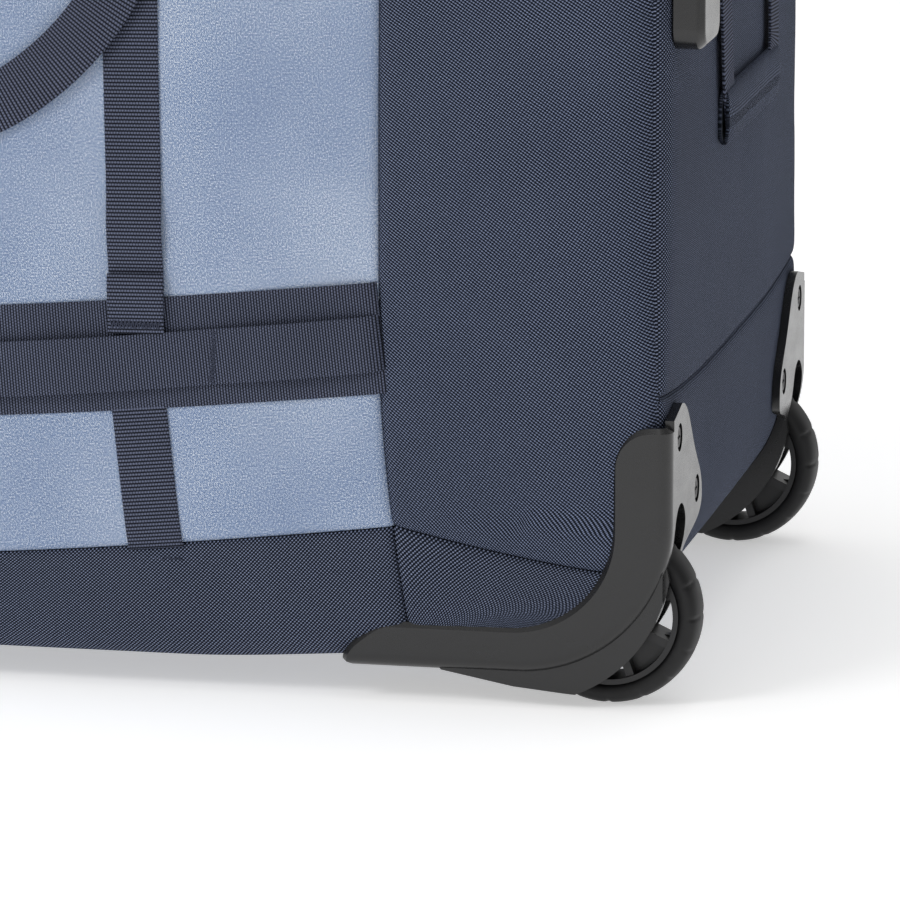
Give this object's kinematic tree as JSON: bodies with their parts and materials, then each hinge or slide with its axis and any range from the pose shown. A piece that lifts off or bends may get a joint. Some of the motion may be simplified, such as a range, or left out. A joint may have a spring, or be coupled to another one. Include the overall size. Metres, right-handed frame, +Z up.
{
  "type": "rolling duffel bag",
  "caption": "Soft-sided wheeled duffel bag with corner wheel guards, telescopic pull handle, zipped lid, webbing side straps and fold-down carry handles.",
  "frame": {"origin": "on the ground, midway along, across the bag", "axes": "+X towards the wheel end, +Y to the left side of the bag, +Z up"},
  "size_m": [0.81, 0.3932, 0.3521],
  "materials": {
    "navy_fabric": "coarse ballistic weave",
    "blue_fabric": "heathered twill",
    "webbing": "ribbed webbing",
    "wrap_fabric": "padded wrap, coarse weave",
    "lining_fabric": "smooth lining cloth",
    "zipper_plastic": "moulded coil",
    "guard_plastic": "satin, fine moulded grain",
    "hub_plastic": "satin",
    "tyre_rubber": "moulded tread",
    "steel": "zinc plated",
    "dark_steel": "black oxide",
    "board_plastic": "plain",
    "tube_aluminium": "anodised",
    "grip_plastic": "soft touch",
    "button_plastic": "satin",
    "slider_metal": "satin coat",
    "pull_plastic": "moulded"
  },
  "bodies": {
    "bag": {"base_fabric": "navy_fabric", "wheel_end_kick_panel": "navy_fabric", "wheel_end_panel": "navy_fabric", "front_end_panel": "navy_fabric", "side_panel_l": "blue_fabric", "side_panel_r": "blue_fabric", "side_base_l": "navy_fabric", "side_base_r": "navy_fabric", "front_end_side_l": "navy_fabric", "front_end_side_r": "navy_fabric", "wheel_end_side_l": "navy_fabric", "wheel_end_side_r": "navy_fabric", "top_border": "navy_fabric", "zipper_chain": "zipper_plastic", "wheel_housing_l": "guard_plastic", "wheel_housing_r": "guard_plastic", "bearing_spacers": "steel", "wheel_axles": "steel", "axle_washers": "steel", "housing_screws": "dark_steel", "housing_backing": "guard_plastic", "base_board": "board_plastic", "floor_panel": "lining_fabric", "front_feet": "guard_plastic", "foot_screws": "dark_steel", "end_feet": "guard_plastic", "rear_tube_bracket": "board_plastic", "handle_cup": "guard_plastic", "outer_tubes": "tube_aluminium", "outer_collars": "guard_plastic", "side_band_l": "webbing", "side_band_r": "webbing", "daisy_strap_l": "webbing", "daisy_strap_r": "webbing", "haul_webbing": "webbing", "lower_straps": "webbing", "handle_tabs": "webbing"},
    "wheel_l": {"tyre_l": "tyre_rubber", "hub_l": "hub_plastic", "bearings_l": "steel"},
    "wheel_r": {"tyre_r": "tyre_rubber", "hub_r": "hub_plastic", "bearings_r": "steel"},
    "handle_middle": {"middle_tubes": "tube_aluminium", "middle_collars": "guard_plastic"},
    "handle_grip": {"inner_tubes": "tube_aluminium", "grip": "grip_plastic"},
    "push_button": {"push_button": "button_plastic"},
    "lid": {"lid_panel": "blue_fabric"},
    "slider_l": {"slider_l": "slider_metal"},
    "slider_r": {"slider_r": "slider_metal"},
    "pull_l": {"pull_l": "pull_plastic"},
    "pull_r": {"pull_r": "pull_plastic"},
    "haul_handle_l": {"haul_loop_l": "webbing", "haul_wrap_l": "wrap_fabric"},
    "haul_handle_r": {"haul_loop_r": "webbing", "haul_wrap_r": "wrap_fabric"},
    "wheel_end_handle": {"wheel_end_handle": "wrap_fabric"},
    "front_end_handle": {"front_end_handle": "wrap_fabric"}
  },
  "joints": [
    {"name": "wheel_l_spin", "type": "hinge", "parent": "bag", "child": "wheel_l", "pos_m": [0.365, 0.165, 0.04], "axis": [0, 1, 0], "continuous": true},
    {"name": "wheel_r_spin", "type": "hinge", "parent": "bag", "child": "wheel_r", "pos_m": [0.365, -0.165, 0.04], "axis": [0, 1, 0], "continuous": true},
    {"name": "handle_lower_stage", "type": "slide", "parent": "bag", "child": "handle_middle", "axis": [-1, 0, 0], "range_m": [0, 0.25]},
    {"name": "handle_upper_stage", "type": "slide", "parent": "handle_middle", "child": "handle_grip", "axis": [-1, 0, 0], "range_m": [0, 0.25]},
    {"name": "button_press", "type": "slide", "parent": "handle_grip", "child": "push_button", "axis": [1, 0, 0], "range_m": [0, 0.003], "stiffness_N_per_m": 600, "springref_m": -0.002},
    {"name": "lid_hinge", "type": "hinge", "parent": "bag", "child": "lid", "pos_m": [0.3, 0, 0.345], "axis": [0, 1, 0], "range_deg": [0, 150]},
    {"name": "zip_l_slide", "type": "slide", "parent": "bag", "child": "slider_l", "axis": [1, 0, 0], "range_m": [0, 0.53]},
    {"name": "pull_l_swing", "type": "hinge", "parent": "slider_l", "child": "pull_l", "pos_m": [-0.262, 0.1548, 0.3504], "axis": [0, -1, 0], "range_deg": [0, 170]},
    {"name": "zip_r_slide", "type": "slide", "parent": "bag", "child": "slider_r", "axis": [1, 0, 0], "range_m": [0, 0.53]},
    {"name": "pull_r_swing", "type": "hinge", "parent": "slider_r", "child": "pull_r", "pos_m": [-0.262, -0.1548, 0.3504], "axis": [0, -1, 0], "range_deg": [0, 170]},
    {"name": "haul_l_swing", "type": "hinge", "parent": "bag", "child": "haul_handle_l", "pos_m": [0, 0.1922, 0.332], "axis": [1, 0, 0], "range_deg": [0, 180]},
    {"name": "haul_r_swing", "type": "hinge", "parent": "bag", "child": "haul_handle_r", "pos_m": [0, -0.1922, 0.332], "axis": [-1, 0, 0], "range_deg": [0, 180]},
    {"name": "wheel_end_handle_swing", "type": "hinge", "parent": "bag", "child": "wheel_end_handle", "pos_m": [0.3966, 0, 0.3], "axis": [0, -1, 0], "range_deg": [0, 180]},
    {"name": "front_end_handle_swing", "type": "hinge", "parent": "bag", "child": "front_end_handle", "pos_m": [-0.3966, 0, 0.3], "axis": [0, 1, 0], "range_deg": [0, 180]}
  ]
}
